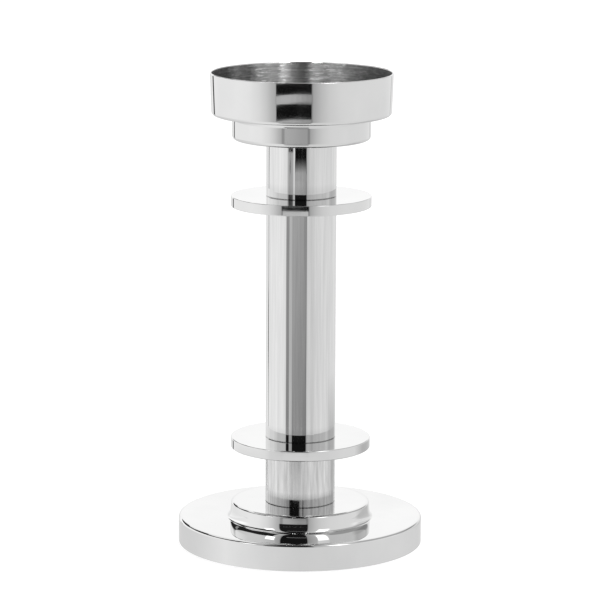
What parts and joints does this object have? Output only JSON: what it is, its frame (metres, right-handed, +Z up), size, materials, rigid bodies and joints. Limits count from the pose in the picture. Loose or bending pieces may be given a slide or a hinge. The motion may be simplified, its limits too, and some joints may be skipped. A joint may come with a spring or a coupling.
{
  "type": "candlestick",
  "caption": "Polished stepped pillar candlestick with a weighted round base, a tube column with collar discs, and a two-step candle cup that screws onto the column's tie rod.",
  "frame": {"origin": "centre of the base on the plane that it rests on", "axes": "+Z up along the axis that the whole candlestick is turned about, +X to the right and -Y towards the viewer in the picture"},
  "size_m": [0.14, 0.14, 0.272],
  "materials": {
    "polished_nickel": "polished nickel plate, mirror bright outside, fine turning lines inside the cup",
    "zinc_steel": "zinc-plated steel, slightly dull",
    "turned_brass": "bare turned brass with tool lines",
    "iron": "rough grey casting",
    "felt": "dark pressed felt",
    "nylon": "natural nylon sheet"
  },
  "bodies": {
    "stand": {"felt_pad": "felt", "cover_plate": "zinc_steel", "cover_screws": "zinc_steel", "ballast_weight": "iron", "base_shell": "polished_nickel", "base_nut": "zinc_steel", "base_spring_washer": "zinc_steel", "base_flat_washer": "zinc_steel", "tie_rod": "zinc_steel", "lower_tube": "polished_nickel", "lower_tube_foot_plug": "turned_brass", "lower_tube_head_plug": "turned_brass", "lower_disc": "polished_nickel", "main_tube": "polished_nickel", "main_tube_foot_plug": "turned_brass", "main_tube_head_plug": "turned_brass", "upper_disc": "polished_nickel", "upper_tube": "polished_nickel", "upper_tube_foot_plug": "turned_brass", "stem_head": "turned_brass", "column_washer": "zinc_steel", "column_nut": "zinc_steel"},
    "slip_ring": {"slip_washer": "nylon"},
    "cup": {"cup_boss": "turned_brass", "candle_socket": "polished_nickel", "drip_cup": "polished_nickel"}
  },
  "joints": [
    {"name": "cup_lift", "type": "slide", "parent": "stand", "child": "slip_ring", "axis": [0, 0, 1], "range_m": [0, 0.00876]},
    {"name": "cup_turn", "type": "hinge", "parent": "slip_ring", "child": "cup", "pos_m": [0, 0, 0.234], "axis": [0, 0, 1], "range_deg": [0, 2520]}
  ],
  "couplings": [
    {"joint": "cup_lift", "follows": "cup_turn", "m_per_rad": 0.00019894}
  ]
}
